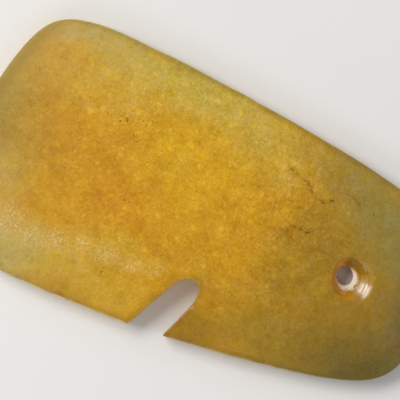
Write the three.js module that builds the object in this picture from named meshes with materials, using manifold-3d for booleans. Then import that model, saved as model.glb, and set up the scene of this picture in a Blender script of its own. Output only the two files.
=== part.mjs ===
// Stone pendant: one plate of yellow stone, ground and polished by hand. The front face is gently
// domed and the back is flat. A cord hole is drilled from both faces near the narrow end, and a
// round-nosed slot is sawn into one long side.
// Millimetres. +X runs along the plate towards the drilled end, +Y towards the plain long side,
// and +Z out of the domed front face. The origin is the middle of the flat back.

import * as THREE from "three";
import { mergeVertices } from "three/addons/utils/BufferGeometryUtils.js";
import Module from "manifold-3d";

// Plan of the plate: a trapezoid whose four sides bow outwards and whose corners are eased
const cornerToCorner = 74.4; // from the wide end's corners to the narrow end's
const wideEndWidth = 44.8;
const narrowEndWidth = 30.3;
const wideEndBow = 5.8;
const narrowEndBow = 1.8;
const plainSideBow = 1.7;
const slottedSideBow = 2.8;
const wideCornerAlongEnd = 10.8; // how far each corner's easing reaches along its two sides
const wideCornerAlongSide = 14.8;
const narrowCornerAlongEnd = 8.9;
const narrowCornerAlongSide = 20.8;
const cornerHandleShare = 0.83; // of the way from the easing's end to the sharp corner

// Section of the plate
const thickness = 5.4; // at the middle of the dome
const frontFall = 1.6; // from the middle of the dome down to the edge
const shoulderShare = 0.5; // of the fall, kept back for the last stretch before the edge
const backRise = 0.5; // from the flat of the back up to the edge
const backFlatShare = 0.78; // of the way from the middle to the edge
const frontArrisRadius = 0.5;
const backArrisRadius = 0.6;

// Cord hole, drilled from both faces with a tapering drill that was held out of square and rocked
const holeFromNarrowCorners = 13.7;
const holeOffAxis = 0.15; // towards the slotted side
const waistRadius = 1.58; // the long way
const waistHeight = 2.5; // above the flat of the back
const holeNarrowShare = 0.87; // of the long way, measured along the heading below
const holeNarrowHeading = THREE.MathUtils.degToRad(32);
const drillTipPastWaist = 0.6; // so that the two drillings meet
const frontDrillHalfAngle = THREE.MathUtils.degToRad(37);
const frontDrillTilt = THREE.MathUtils.degToRad(18); // from square, towards the heading below
const frontDrillHeading = THREE.MathUtils.degToRad(-2);
const backDrillHalfAngle = THREE.MathUtils.degToRad(33);
const backDrillTilt = THREE.MathUtils.degToRad(7);
const backDrillHeading = THREE.MathUtils.degToRad(200);

// Slot in the long side, with straight walls that close in a little and a long round nose
const slotFromWideCorner = 33.9; // along the bowed side, to the middle of the mouth
const slotDepth = 11.6;
const slotNoseLength = 4.4;
const slotMouthWidth = 5.25;
const slotThroatWidth = 4.65;
const slotLean = THREE.MathUtils.degToRad(23); // from square to the plate, towards the narrow end
const slotWallHandleShare = 0.44; // of the nose's length
const slotTipHandleShare = 0.71; // of half the throat

// Facets
const outlineSteps = 168;
const frontRingShares = [0.3, 0.5, 0.66, 0.78, 0.88, 0.95]; // of the way from the middle to the edge
const backRingShares = [0.96, 0.91, 0.85];
const arrisSteps = 3;
const drillSteps = 56;
const slotNoseSteps = 14;
const cutOverrun = 2; // how far each cutter runs past the face that it enters

// Height of the front face at a share of the way from the middle of the plate to its edge
function frontHeight(share) {
  const evenFall = (1 - shoulderShare) * share ** 2;
  const shoulderFall = shoulderShare * share ** 4;
  return thickness - frontFall * (evenFall + shoulderFall);
}

// Height of the back face at such a share: flat in the middle, then rising smoothly to the edge
function backHeight(share) {
  const pastFlat = Math.max(0, share - backFlatShare) / (1 - backFlatShare);
  return backRise * pastFlat ** 2;
}

// One side of the plate: the arc between two corners that stands off their chord by its bow,
// with what each corner's easing takes from its two ends
function bowedSide(from, to, bow, easedAtStart, easedAtEnd) {
  const chord = to.clone().sub(from);
  const outward = new THREE.Vector2(-chord.y, chord.x).normalize();
  const radius = (chord.lengthSq() / 4 + bow ** 2) / (2 * bow);
  const centre = from.clone().lerp(to, 0.5).addScaledVector(outward, bow - radius);
  const length = 2 * radius * Math.asin(chord.length() / (2 * radius));
  const cornerAngle = from.clone().sub(centre).angle();
  const angleAt = (distance) => cornerAngle - distance / radius;
  return { radius, centre, length, angleAt, easedAtStart, easedAtEnd };
}

function pointOn(side, distance) {
  const angle = side.angleAt(distance);
  const spoke = new THREE.Vector2(Math.cos(angle), Math.sin(angle));
  return side.centre.clone().addScaledVector(spoke, side.radius);
}

function headingOn(side, distance) {
  const angle = side.angleAt(distance);
  return new THREE.Vector2(Math.sin(angle), -Math.cos(angle));
}

// The plate's four sides, clockwise from the wide end's corner on the plain side
function plateSides() {
  const plainWide = new THREE.Vector2(0, wideEndWidth / 2);
  const plainNarrow = new THREE.Vector2(cornerToCorner, narrowEndWidth / 2);
  const slotNarrow = new THREE.Vector2(cornerToCorner, -narrowEndWidth / 2);
  const slotWide = new THREE.Vector2(0, -wideEndWidth / 2);
  return {
    plain: bowedSide(plainWide, plainNarrow, plainSideBow, wideCornerAlongSide, narrowCornerAlongSide),
    narrow: bowedSide(plainNarrow, slotNarrow, narrowEndBow, narrowCornerAlongEnd, narrowCornerAlongEnd),
    slotted: bowedSide(slotNarrow, slotWide, slottedSideBow, narrowCornerAlongSide, wideCornerAlongSide),
    wide: bowedSide(slotWide, plainWide, wideEndBow, wideCornerAlongEnd, wideCornerAlongEnd),
  };
}

// Where two straight lines meet, each given by a point and a heading
function meetingPoint(pointA, headingA, pointB, headingB) {
  const gap = pointB.clone().sub(pointA);
  return pointA.clone().addScaledVector(headingA, gap.cross(headingB) / headingA.cross(headingB));
}

// The outline as a path: each side's arc, then the eased corner that leads to the next side
function plateOutline(loop) {
  const outline = new THREE.Path();
  loop.forEach((side, i) => {
    const next = loop[(i + 1) % loop.length];
    const arcEnd = side.length - side.easedAtEnd;
    const leave = pointOn(side, arcEnd);
    const arrive = pointOn(next, next.easedAtStart);
    const corner = meetingPoint(leave, headingOn(side, arcEnd), arrive, headingOn(next, next.easedAtStart));
    const handleOut = leave.clone().lerp(corner, cornerHandleShare);
    const handleIn = arrive.clone().lerp(corner, cornerHandleShare);
    const { centre, radius } = side;
    outline.absarc(centre.x, centre.y, radius, side.angleAt(side.easedAtStart), side.angleAt(arcEnd), true);
    outline.bezierCurveTo(handleOut.x, handleOut.y, handleIn.x, handleIn.y, arrive.x, arrive.y);
  });
  return outline;
}

// Evenly spaced points of the outline, anticlockwise, with the middle of their box at the origin
const sides = plateSides();
const rawOutline = plateOutline(Object.values(sides)).getSpacedPoints(outlineSteps).slice(1).reverse();
const plateMiddle = new THREE.Box2().setFromPoints(rawOutline).getCenter(new THREE.Vector2());
const outlinePoints = rawOutline.map((point) => point.clone().sub(plateMiddle));

// One ring of the skin: the outline drawn in by an inset, then shrunk towards the middle by a share
function skinRing(inset, share, height) {
  return outlinePoints.map((point, i) => {
    const before = outlinePoints[(i + outlineSteps - 1) % outlineSteps];
    const after = outlinePoints[(i + 1) % outlineSteps];
    const along = after.clone().sub(before).normalize();
    const inward = new THREE.Vector2(-along.y, along.x);
    const place = point.clone().addScaledVector(inward, inset).multiplyScalar(share);
    return new THREE.Vector3(place.x, place.y, height);
  });
}

// Rings from the middle of the front face, over the rounded edges, to the flat of the back
function skinRings() {
  const rings = frontRingShares.map((share) => skinRing(share * frontArrisRadius, share, frontHeight(share)));
  const turns = Array.from({ length: arrisSteps + 1 }, (_, step) => (Math.PI / 2) * (step / arrisSteps));
  turns.forEach((turn) => {
    const inset = frontArrisRadius * (1 - Math.sin(turn));
    const drop = frontArrisRadius * (1 - Math.cos(turn));
    rings.push(skinRing(inset, 1, frontHeight(1) - drop));
  });
  turns.forEach((turn) => {
    const inset = backArrisRadius * (1 - Math.cos(turn));
    const lift = backArrisRadius * (1 - Math.sin(turn));
    rings.push(skinRing(inset, 1, backHeight(1) + lift));
  });
  [...backRingShares, backFlatShare].forEach((share) => {
    rings.push(skinRing(share * backArrisRadius, share, backHeight(share)));
  });
  return rings;
}

// Joins the rings into one closed skin, with a fan at the middle of each face
function loftedSkin(rings) {
  const positions = rings.flat().flatMap((point) => point.toArray());
  const frontMiddle = positions.length / 3;
  const backMiddle = frontMiddle + 1;
  positions.push(0, 0, frontHeight(0), 0, 0, backHeight(0));
  const lastRing = (rings.length - 1) * outlineSteps;
  const indices = [];
  for (let i = 0; i < outlineSteps; i += 1) {
    const next = (i + 1) % outlineSteps;
    indices.push(frontMiddle, i, next);
    indices.push(backMiddle, lastRing + next, lastRing + i);
    for (let ring = 0; ring < lastRing; ring += outlineSteps) {
      const below = ring + outlineSteps;
      indices.push(ring + i, below + i, ring + next);
      indices.push(ring + next, below + i, below + next);
    }
  }
  const skin = new THREE.BufferGeometry();
  skin.setAttribute("position", new THREE.Float32BufferAttribute(positions, 3));
  return skin.setIndex(indices);
}

// One drilling: a cone that reaches the waist's radius at the waist, is narrower along one heading,
// points up or down and leans towards a heading of its own
function drillCutter(faceSign, halfAngle, tilt, heading) {
  const reach = thickness + cutOverrun;
  const profile = [
    new THREE.Vector2(0, -drillTipPastWaist),
    new THREE.Vector2(waistRadius - drillTipPastWaist * Math.tan(halfAngle), -drillTipPastWaist),
    new THREE.Vector2(waistRadius + reach * Math.tan(halfAngle), reach),
    new THREE.Vector2(0, reach),
  ];
  const drill = new THREE.LatheGeometry(profile, drillSteps).rotateX((faceSign * Math.PI) / 2);
  drill.rotateZ(-holeNarrowHeading).scale(holeNarrowShare, 1, 1).rotateZ(holeNarrowHeading);
  drill.rotateZ(-heading).rotateY(faceSign * tilt).rotateZ(heading);
  const hole = new THREE.Vector2(cornerToCorner - holeFromNarrowCorners, -holeOffAxis).sub(plateMiddle);
  return drill.translate(hole.x, hole.y, waistHeight);
}

// The slot's cutter: its plan, with the mouth on the long side, leans as the slot does
function slotCutter() {
  const wallLength = slotDepth - slotNoseLength;
  const mouth = slotMouthWidth / 2;
  const throat = slotThroatWidth / 2;
  const taper = (mouth - throat) / wallLength;
  const outside = mouth + taper * cutOverrun;
  const wallHandle = slotNoseLength * slotWallHandleShare;
  const wallHandleX = throat - taper * wallHandle;
  const wallHandleY = wallLength + wallHandle;
  const tipHandle = throat * slotTipHandleShare;
  const plan = new THREE.Shape();
  plan.moveTo(-outside, -cutOverrun);
  plan.lineTo(outside, -cutOverrun);
  plan.lineTo(throat, wallLength);
  plan.bezierCurveTo(wallHandleX, wallHandleY, tipHandle, slotDepth, 0, slotDepth);
  plan.bezierCurveTo(-tipHandle, slotDepth, -wallHandleX, wallHandleY, -throat, wallLength);
  plan.closePath();
  const cutter = new THREE.ExtrudeGeometry(plan, {
    depth: thickness + 2 * cutOverrun,
    bevelEnabled: false,
    curveSegments: slotNoseSteps,
  });
  const mouthMiddle = pointOn(sides.slotted, sides.slotted.length - slotFromWideCorner).sub(plateMiddle);
  return cutter.rotateZ(-slotLean).translate(mouthMiddle.x, mouthMiddle.y, -cutOverrun);
}

const wasm = await Module();
wasm.setup();

function toSolid(geometry) {
  const bare = geometry.clone();
  bare.deleteAttribute("normal");
  bare.deleteAttribute("uv");
  const merged = mergeVertices(bare);
  const vertProperties = new Float32Array(merged.attributes.position.array);
  const triVerts = new Uint32Array(merged.index.array);
  return new wasm.Manifold(new wasm.Mesh({ numProp: 3, vertProperties, triVerts }));
}

function toGeometry(solid) {
  const { vertProperties, triVerts } = solid.getMesh();
  const geometry = new THREE.BufferGeometry();
  geometry.setAttribute("position", new THREE.BufferAttribute(vertProperties, 3));
  geometry.setIndex(new THREE.BufferAttribute(triVerts, 1));
  geometry.computeVertexNormals();
  return geometry;
}

// The plate with its slot and its hole cut through
function stonePlate() {
  const blank = toSolid(loftedSkin(skinRings()));
  const cutters = [
    slotCutter(),
    drillCutter(1, frontDrillHalfAngle, frontDrillTilt, frontDrillHeading),
    drillCutter(-1, backDrillHalfAngle, backDrillTilt, backDrillHeading),
  ];
  const cut = cutters.reduce((solid, cutter) => solid.subtract(toSolid(cutter)), blank);
  const yellowStone = new THREE.MeshStandardMaterial({ color: 0xc9992e, roughness: 0.34, metalness: 0 });
  const plate = new THREE.Mesh(toGeometry(cut), yellowStone);
  plate.name = "stone_plate";
  return plate;
}

const pendant = new THREE.Group();
pendant.name = "stone_pendant";
pendant.add(stonePlate());

export default pendant;
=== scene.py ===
import math

import bpy
import numpy as np
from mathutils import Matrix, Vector
from mathutils.geometry import delaunay_2d_cdt


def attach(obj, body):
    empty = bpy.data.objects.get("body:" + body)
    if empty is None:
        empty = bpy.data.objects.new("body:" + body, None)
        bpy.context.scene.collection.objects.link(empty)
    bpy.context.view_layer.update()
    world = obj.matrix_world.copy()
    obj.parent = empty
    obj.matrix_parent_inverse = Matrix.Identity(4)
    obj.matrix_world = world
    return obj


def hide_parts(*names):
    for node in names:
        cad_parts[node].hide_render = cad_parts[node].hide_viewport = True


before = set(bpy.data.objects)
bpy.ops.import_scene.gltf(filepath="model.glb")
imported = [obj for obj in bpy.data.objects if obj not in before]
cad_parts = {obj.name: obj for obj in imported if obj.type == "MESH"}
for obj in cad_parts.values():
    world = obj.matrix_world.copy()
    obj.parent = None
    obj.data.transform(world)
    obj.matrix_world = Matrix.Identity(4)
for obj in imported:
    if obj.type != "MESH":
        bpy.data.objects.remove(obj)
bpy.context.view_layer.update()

mm = 0.001  # every size below is in millimetres
print("frame loaded")


# Small helpers for node trees

def addNode(tree, kind, inputs=None, **settings):
    made = tree.nodes.new(kind)
    for name, value in settings.items():
        setattr(made, name, value)
    for key, value in (inputs or {}).items():
        if isinstance(value, bpy.types.NodeSocket):
            tree.links.new(value, made.inputs[key])
        else:
            made.inputs[key].default_value = value
    return made


def addGroup(tree, group, inputs):
    return addNode(tree, "ShaderNodeGroup", inputs, node_tree=group).outputs[0]


def calc(tree, operation, *values, clamp=False):
    inputs = dict(enumerate(values))
    return addNode(tree, "ShaderNodeMath", inputs, operation=operation, use_clamp=clamp).outputs[0]


def product(tree, first, *others):
    for other in others:
        first = calc(tree, "MULTIPLY", first, other)
    return first


def vectorCalc(tree, operation, *values, output="Vector", **named):
    inputs = {**dict(enumerate(values)), **named}
    return addNode(tree, "ShaderNodeVectorMath", inputs, operation=operation).outputs[output]


def scaled(tree, vector, factor):
    return vectorCalc(tree, "SCALE", vector, Scale=factor)


def ramp(tree, value, start, end, low=0.0, high=1.0, kind="SMOOTHSTEP"):
    inputs = {"Value": value, "From Min": start, "From Max": end, "To Min": low, "To Max": high}
    return addNode(tree, "ShaderNodeMapRange", inputs, interpolation_type=kind).outputs["Result"]


def cloud(tree, place, perMm, detail=2.0, rough=0.5, shift=(0, 0, 0), output=0):
    # output 0 is one value, output 1 a colour
    moved = vectorCalc(tree, "ADD", place, shift)
    inputs = {"Vector": moved, "Scale": perMm, "Detail": detail, "Roughness": rough}
    return addNode(tree, "ShaderNodeTexNoise", inputs).outputs[output]


def linear(red, green, blue):
    # a colour as the eye reads it turned into what a shader wants
    shares = [c / 255 for c in (red, green, blue)]
    return tuple(c / 12.92 if c < 0.04045 else ((c + 0.055) / 1.055) ** 2.4 for c in shares) + (1.0,)


# The plate's plan and section, as the solid has them

plate = {
    "cornerToCorner": 74.4,
    "wideEndWidth": 44.8,
    "narrowEndWidth": 30.3,
    "wideEndBow": 5.8,
    "narrowEndBow": 1.8,
    "plainSideBow": 1.7,
    "slottedSideBow": 2.8,
    "wideCornerAlongEnd": 10.8,
    "wideCornerAlongSide": 14.8,
    "narrowCornerAlongEnd": 8.9,
    "narrowCornerAlongSide": 20.8,
    "cornerHandleShare": 0.83,
    "thickness": 5.4,
    "frontFall": 1.6,
    "shoulderShare": 0.5,
    "backRise": 0.5,
    "backFlatShare": 0.78,
    "frontArris": 0.5,
    "backArris": 0.6,
    "arrisHandleShare": 0.55,
    "wallCrown": 0.07,  # how far the middle of the edge stands out of its two ends
}

slot = {
    "fromWideCorner": 33.9,
    "depth": 11.6,
    "noseLength": 4.4,
    "mouthWidth": 5.25,
    "throatWidth": 4.65,
    "lean": math.radians(23),
    "wallHandleShare": 0.44,
    "tipHandleShare": 0.71,
    "arris": 0.17,  # worn roundness of the sawn edges
    "lipArris": 0.13,
    "lipRound": 0.38,  # how far each lip's rounding reaches along its two sides
    "lipBlend": 2.6,  # over which the arris of the plate becomes the arris of the slot
    "rubbedShare": 0.7,  # of the saw's strokes worn off where the wall meets a face
}

hole = {
    "fromNarrowCorners": 13.7,
    "offAxis": 0.15,
    "waistRadius": 1.58,
    "waistHeight": 2.5,
    "narrowShare": 0.87,
    "narrowHeading": math.radians(32),
    "front": {"halfAngle": math.radians(37), "tilt": math.radians(18), "heading": math.radians(-2)},
    "back": {"halfAngle": math.radians(33), "tilt": math.radians(7), "heading": math.radians(200)},
    "rimBlend": 0.7,  # worn roundness where the drill entered each face
    "holeLooksBetween": (-0.35, 0.6),  # depths below the face where the hole's own looks come in
    "surelyStone": 3.0,  # farther from the hole's middle than its waist
    "patchRadius": 5.4,  # of the part of each face that is laid out in rings
}

mesh = {
    "curveStep": 0.03,
    "noseCurveShare": 1.3,  # length of half the nose's curve, in nose lengths
    "edgeStep": 0.22,
    "lipStep": 0.08,
    "lipStepReach": (0.4, 2),  # from a lip, where the fine step grows coarse
    "slopeReach": 8,  # points to either side that give the outline's direction
    "frontStep": 0.4,
    "backStep": 0.56,
    "arrisSteps": 6,
    "wallSteps": 8,
    "holeSpokes": 132,
    "frontHoleRings": 56,
    "backHoleRings": 26,
    "evenRingShare": 0.62,  # at 1 the rings round the hole are equally far apart
    "waistTries": 40,
    "rimClearance": 0.55,  # least gap between edge and inner points, in steps
    "joinWithin": 1e-7,
    "gapParts": 40,
    "farFromEdge": 9,
}

# chips in the lower edge: x, y, reach, depth
chips = [(-14.7, -22.1, 0.55, 0.26), (-9.2, -21.9, 0.5, 0.24), (5.2, -21.6, 0.5, 0.12)]


def bowedSide(start, end, bow, easedAtStart, easedAtEnd):
    chord = end - start
    chordLength = np.linalg.norm(chord)
    outward = np.array([-chord[1], chord[0]]) / chordLength
    radius = (chordLength ** 2 / 4 + bow ** 2) / (2 * bow)
    centre = (start + end) / 2 + outward * (bow - radius)
    first = start - centre
    return {
        "radius": radius,
        "centre": centre,
        "length": 2 * radius * math.asin(chordLength / (2 * radius)),
        "startAngle": math.atan2(first[1], first[0]),
        "easedAtStart": easedAtStart,
        "easedAtEnd": easedAtEnd,
    }


def pointOn(side, distance):
    angle = side["startAngle"] - np.asarray(distance) / side["radius"]
    return side["centre"] + side["radius"] * np.stack([np.cos(angle), np.sin(angle)], -1)


def headingOn(side, distance):
    angle = side["startAngle"] - distance / side["radius"]
    return np.array([math.sin(angle), -math.cos(angle)])


def curve(p0, p1, p2, p3, count):
    t = np.linspace(0, 1, count)[:, None]
    return (1 - t) ** 3 * p0 + 3 * t * (1 - t) ** 2 * p1 + 3 * t ** 2 * (1 - t) * p2 + t ** 3 * p3


def plateSides():
    halfWide = plate["wideEndWidth"] / 2
    halfNarrow = plate["narrowEndWidth"] / 2
    span = plate["cornerToCorner"]
    corners = np.array([(0, halfWide), (span, halfNarrow), (span, -halfNarrow), (0, -halfWide)])
    wideEase = plate["wideCornerAlongEnd"], plate["wideCornerAlongSide"]
    narrowEase = plate["narrowCornerAlongEnd"], plate["narrowCornerAlongSide"]
    return {
        "plain": bowedSide(corners[0], corners[1], plate["plainSideBow"], wideEase[1], narrowEase[1]),
        "narrow": bowedSide(corners[1], corners[2], plate["narrowEndBow"], narrowEase[0], narrowEase[0]),
        "slotted": bowedSide(corners[2], corners[3], plate["slottedSideBow"], narrowEase[1], wideEase[1]),
        "wide": bowedSide(corners[3], corners[0], plate["wideEndBow"], wideEase[0], wideEase[0]),
    }


def easedCorner(side, following):
    leaveAt = side["length"] - side["easedAtEnd"]
    leave = pointOn(side, leaveAt)
    arrive = pointOn(following, following["easedAtStart"])
    headingA = headingOn(side, leaveAt)
    headingB = headingOn(following, following["easedAtStart"])
    gap = arrive - leave
    turn = headingA[0] * headingB[1] - headingA[1] * headingB[0]
    corner = leave + headingA * (gap[0] * headingB[1] - gap[1] * headingB[0]) / turn
    share = plate["cornerHandleShare"]
    handleOut = leave + (corner - leave) * share
    handleIn = arrive + (corner - arrive) * share
    return curve(leave, handleOut, handleIn, arrive, round(np.linalg.norm(gap) / mesh["curveStep"]))


def plateOutline():
    # anticlockwise, with the middle of its box at the origin
    sides = list(plateSides().values())
    stretches = []
    for side, following in zip(sides, sides[1:] + sides[:1]):
        first, last = side["easedAtStart"], side["length"] - side["easedAtEnd"]
        count = round((last - first) / mesh["curveStep"])
        stretches.append(pointOn(side, np.linspace(first, last, count))[:-1])
        stretches.append(easedCorner(side, following)[:-1])
    outline = np.concatenate(stretches)[::-1]
    middle = (outline.min(0) + outline.max(0)) / 2
    return outline - middle, middle


def turned(points, angle):
    c, s = math.cos(angle), math.sin(angle)
    return np.stack([points[..., 0] * c - points[..., 1] * s, points[..., 0] * s + points[..., 1] * c], -1)


def slotPath(mouthMiddle, leftDepth, rightDepth):
    # from the lip on the wide end's side, round the nose, to the other lip
    wallLength = slot["depth"] - slot["noseLength"]
    mouth, throat = slot["mouthWidth"] / 2, slot["throatWidth"] / 2
    taper = (mouth - throat) / wallLength
    wallHandle = slot["noseLength"] * slot["wallHandleShare"]
    handleX, handleY = throat - taper * wallHandle, wallLength + wallHandle
    tipHandle = throat * slot["tipHandleShare"]
    count = round(slot["noseLength"] * mesh["noseCurveShare"] / mesh["curveStep"])
    tip = slot["depth"]
    nose = np.array([(-throat, wallLength), (-handleX, handleY), (-tipHandle, tip), (0, tip)])
    leftNose = curve(*nose, count)
    rightNose = leftNose[::-1] * (-1, 1)
    wallSteps = round(wallLength / mesh["curveStep"])
    left = np.linspace(leftDepth, wallLength, wallSteps)[:-1]
    right = np.linspace(wallLength, rightDepth, wallSteps)[1:]
    path = np.concatenate([
        np.stack([taper * left - mouth, left], -1),
        leftNose[:-1],
        rightNose,
        np.stack([mouth - taper * right, right], -1),
    ])
    return turned(path, -slot["lean"]) + mouthMiddle


def roundedLip(points, lip):
    # the corner at that index becomes a short curve
    reach = round(slot["lipRound"] / mesh["curveStep"])
    before, after = points[lip - reach], points[(lip + reach) % len(points)]
    t = np.linspace(0, 1, 2 * reach + 1)[:, None]
    bend = (1 - t) ** 2 * before + 2 * t * (1 - t) * points[lip] + t ** 2 * after
    points[np.arange(lip - reach, lip + reach + 1) % len(points)] = bend
    return points


def boundary():
    # the outline with the slot let in, and for each point how far along it the nearest lip is
    outline, middle = plateOutline()
    slotted = plateSides()["slotted"]
    mouthMiddle = pointOn(slotted, slotted["length"] - slot["fromWideCorner"]) - middle
    local = turned(outline - mouthMiddle, slot["lean"])
    taper = (slot["mouthWidth"] - slot["throatWidth"]) / 2 / (slot["depth"] - slot["noseLength"])
    halfWidth = slot["mouthWidth"] / 2 - taper * local[:, 1]
    inMouth = (np.abs(local[:, 0]) < halfWidth) & (np.abs(local[:, 1]) < slot["depth"] / 2)
    first = np.flatnonzero(inMouth & ~np.roll(inMouth, 1))[0]
    local, outline = np.roll(local, -first, 0), np.roll(outline, -first, 0)
    gone = int(inMouth.sum())
    path = slotPath(mouthMiddle, local[0, 1], local[gone - 1, 1])
    points = np.concatenate([outline[gone:], path])
    lips = len(outline) - gone, len(points) - 1
    points = roundedLip(roundedLip(points, lips[0]), lips[1])
    step = np.linalg.norm(np.roll(points, -1, 0) - points, axis=1)
    along = np.concatenate([[0], np.cumsum(step)])
    total = along[-1]
    lipPlaces = [along[lip] for lip in lips]
    away = [np.abs((along - place + total / 2) % total - total / 2) for place in lipPlaces]
    lipGap = np.minimum(*away)
    spacing = np.interp(lipGap, mesh["lipStepReach"], [mesh["lipStep"], mesh["edgeStep"]])
    effort = np.concatenate([[0], np.cumsum(step / spacing[:-1])])
    count = round(effort[-1])
    places = np.interp(np.arange(count) / count * effort[-1], effort, along)
    closed = np.concatenate([points, points[:1]])
    chosen = np.stack([np.interp(places, along, closed[:, axis]) for axis in (0, 1)], -1)
    onSlot = (places > lipPlaces[0]) & (places < lipPlaces[1])
    gap = np.interp(places, along, lipGap)
    return outline, chosen, gap, onSlot


def smoothStep(low, high, value):
    t = np.clip((value - low) / (high - low), 0, 1)
    return t * t * (3 - 2 * t)


class Skin:
    # heights of the two faces over any place of the plan

    def __init__(self, outline, middle):
        reach = mesh["slopeReach"]
        ahead, behind = np.roll(outline, -reach, 0), np.roll(outline, reach, 0)
        along = (ahead - behind) / np.linalg.norm(ahead - behind, axis=1)[:, None]
        inward = np.stack([-along[:, 1], along[:, 0]], -1)
        inner = outline + inward * plate["frontArris"]
        angle = np.arctan2(inner[:, 1], inner[:, 0])
        order = np.argsort(angle)
        self.angle = angle[order]
        self.radius = np.hypot(inner[:, 0], inner[:, 1])[order]
        place = np.array([plate["cornerToCorner"] - hole["fromNarrowCorners"], -hole["offAxis"]])
        self.hole = place - middle

    def share(self, points):
        angle = np.arctan2(points[..., 1], points[..., 0])
        reach = np.interp(angle, self.angle, self.radius, period=2 * math.pi)
        return np.hypot(points[..., 0], points[..., 1]) / reach

    def front(self, points):
        share = self.share(points)
        fall = (1 - plate["shoulderShare"]) * share ** 2 + plate["shoulderShare"] * share ** 4
        return plate["thickness"] - plate["frontFall"] * fall

    def back(self, points):
        flat = plate["backFlatShare"]
        return plate["backRise"] * (np.maximum(0, self.share(points) - flat) / (1 - flat)) ** 2

    def drilled(self, points, sign, drill):
        # height of one drilling's wall, and how far along the drill's own axis it lies
        def spin(angle):
            c, s = math.cos(angle), math.sin(angle)
            return np.array([[c, -s, 0], [s, c, 0], [0, 0, 1]])

        tilt = sign * drill["tilt"]
        c, s = math.cos(tilt), math.sin(tilt)
        lean = np.array([[c, 0, s], [0, 1, 0], [-s, 0, c]])
        heading, across = drill["heading"], hole["narrowHeading"]
        narrow = spin(across) @ np.diag([hole["narrowShare"], 1, 1]) @ spin(-across)
        towards = np.linalg.inv(spin(heading) @ lean @ spin(-heading) @ narrow)
        # a line straight up through each place, seen from the drill: start a, direction b
        level = np.full(points.shape[:-1] + (1,), -hole["waistHeight"])
        a = np.concatenate([points - self.hole, level], -1) @ towards.T
        b = towards[:, 2]
        slope = math.tan(drill["halfAngle"]) * sign
        reach = hole["waistRadius"] + slope * a[..., 2]
        square = b[0] ** 2 + b[1] ** 2 - (slope * b[2]) ** 2
        cross = 2 * (a[..., 0] * b[0] + a[..., 1] * b[1] - reach * slope * b[2])
        rest = a[..., 0] ** 2 + a[..., 1] ** 2 - reach ** 2
        root = np.sqrt(np.maximum(cross ** 2 - 4 * square * rest, 0))
        height = (-cross - sign * root) / (2 * square)
        return height, sign * (a[..., 2] + b[2] * height)


def softLower(a, b, width):
    # the lower of two heights, with the crease between them rounded
    share = np.clip(0.5 + 0.5 * (b - a) / width, 0, 1)
    return b + (a - b) * share - width * share * (1 - share)


def insideOf(points, ring):
    inside = np.zeros(len(points), bool)
    for (x1, y1), (x2, y2) in zip(ring, np.roll(ring, -1, 0)):
        if y1 == y2:
            continue
        crosses = (y1 > points[:, 1]) != (y2 > points[:, 1])
        inside ^= crosses & (points[:, 0] < (x2 - x1) * (points[:, 1] - y1) / (y2 - y1) + x1)
    return inside


def gapTo(points, ring):
    parts = np.array_split(points, mesh["gapParts"])
    return np.concatenate([np.sqrt(((part[:, None] - ring) ** 2).sum(2).min(1)) for part in parts])


def filledFace(rim, patch, step):
    # triangles between the rim and the ring round the hole, on a honeycomb of points
    low, high = rim.min(0), rim.max(0)
    rows = []
    for i, y in enumerate(np.arange(low[1], high[1], step * math.sqrt(0.75))):
        x = np.arange(low[0] + (i % 2) * step / 2, high[0], step)
        rows.append(np.stack([x, np.full(len(x), y)], -1))
    comb = np.concatenate(rows)
    middle = patch.mean(0)
    comb = comb[np.hypot(*(comb - middle).T) > hole["patchRadius"] + step / 2]
    comb = comb[insideOf(comb, rim)]
    comb = comb[gapTo(comb, rim) > step * mesh["rimClearance"]]
    points = np.concatenate([rim, patch, comb])
    first = np.arange(len(rim))
    second = np.arange(len(patch)) + len(rim)
    edges = [*zip(first, np.roll(first, -1)), *zip(second, np.roll(second, -1))]
    edges = [(int(a), int(b)) for a, b in edges]
    laid = delaunay_2d_cdt([Vector(p) for p in points], edges, [], 0, mesh["joinWithin"])
    faces, origins = laid[2], laid[3]
    source = [origin[0] for origin in origins]
    triangles = np.array([[source[v] for v in face] for face in faces])
    centres = points[triangles].mean(1)
    keep = insideOf(centres, rim) & ~insideOf(centres, patch)
    triangles = triangles[keep]
    a, b, c = (points[triangles[:, k]] for k in range(3))
    flipped = (b[:, 0] - a[:, 0]) * (c[:, 1] - a[:, 1]) < (b[:, 1] - a[:, 1]) * (c[:, 0] - a[:, 0])
    triangles[flipped] = triangles[flipped][:, ::-1]
    return comb, triangles


def bridge(upper, lower):
    # quads between two closed rings of indices that run the same way round
    return np.stack([upper, lower, np.roll(lower, -1), np.roll(upper, -1)], -1)


class PointStore:
    # the points of the plate, with what the relief and the stone read at each of them

    def __init__(self, slotRim):
        self.slotRim = slotRim
        self.places = []
        names = "rimWear", "edgeGap", "bore", "boreDepth", "sawn", "cutGap"
        self.values = {name: [] for name in names}

    def add(self, places, heights, **values):
        start = sum(len(p) for p in self.places)
        self.places.append(np.column_stack([places, heights]))
        values["cutGap"] = gapTo(places, self.slotRim)
        for name, stored in self.values.items():
            stored.append(np.broadcast_to(values.get(name, 0.0), len(places)))
        return np.arange(start, start + len(places))


def arrisPoint(t, arris, slope):
    # how far in from the wall and how far down from the face, along a quarter turn
    handle = plate["arrisHandleShare"]
    p0, p1, p2, p3 = (1 - t) ** 3, 3 * t * (1 - t) ** 2, 3 * t ** 2 * (1 - t), t ** 3
    drawnIn = arris * (p0 + p1 * (1 - handle))
    drop = arris * (p1 * -handle * slope + p2 * (1 - handle) + p3)
    return drawnIn, drop


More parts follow.
